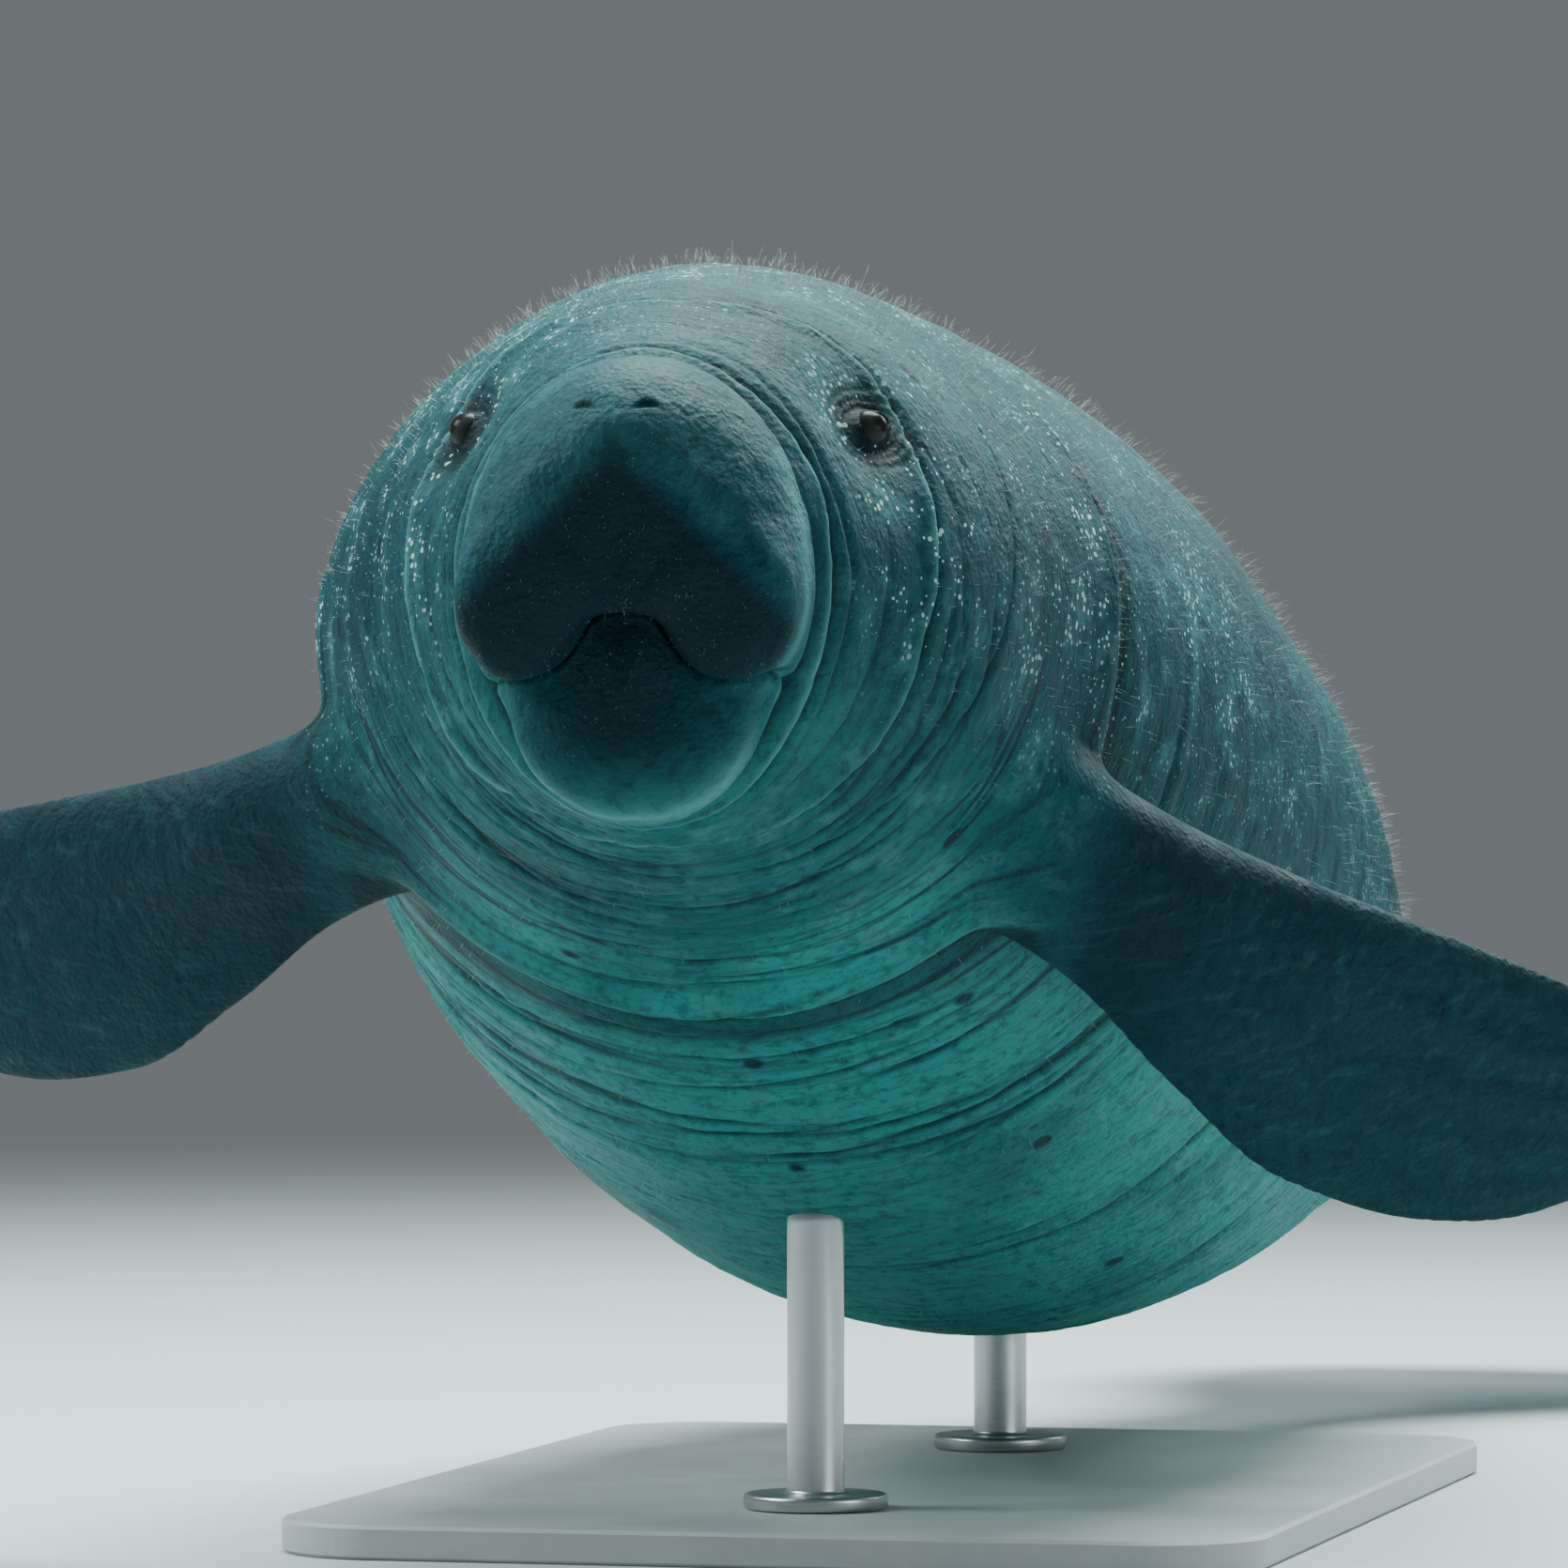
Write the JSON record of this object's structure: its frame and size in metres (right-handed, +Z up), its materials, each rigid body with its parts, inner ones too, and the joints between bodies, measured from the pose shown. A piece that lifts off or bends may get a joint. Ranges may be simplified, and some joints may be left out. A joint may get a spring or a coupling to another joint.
{
  "type": "manatee model",
  "caption": "Life-size still model of a young manatee gliding nose-up with both flippers spread, held over a flat base by two short rods.",
  "frame": {"origin": "on the floor, under the middle of the whole model's box", "axes": "+Z up; the animal faces -Y, its left flipper is on +X, and its tail swings towards +X"},
  "size_m": [1.1912, 1.989, 0.6601],
  "materials": {
    "skin": "matt wrinkled hide, blue-grey above and teal-green below, flecked and sparsely haired",
    "eye": "wet, dark",
    "nail": "dull dark horn",
    "stand_base": "fine matt paint",
    "stand_rod": "brushed"
  },
  "bodies": {
    "root": {"muzzle": "skin", "lower_jaw": "skin", "head": "skin", "neck": "skin", "chest": "skin", "belly": "skin", "tail_stock": "skin", "tail_paddle": "skin", "flipper_left_arm": "skin", "flipper_left_paddle": "skin", "flipper_right_arm": "skin", "flipper_right_paddle": "skin", "eye_left": "eye", "eye_right": "eye", "nail_left_1": "nail", "nail_left_2": "nail", "nail_left_3": "nail", "nail_right_1": "nail", "nail_right_2": "nail", "nail_right_3": "nail", "stand_base": "stand_base", "stand_rod_front": "stand_rod", "stand_rod_rear": "stand_rod"}
  },
  "joints": []
}
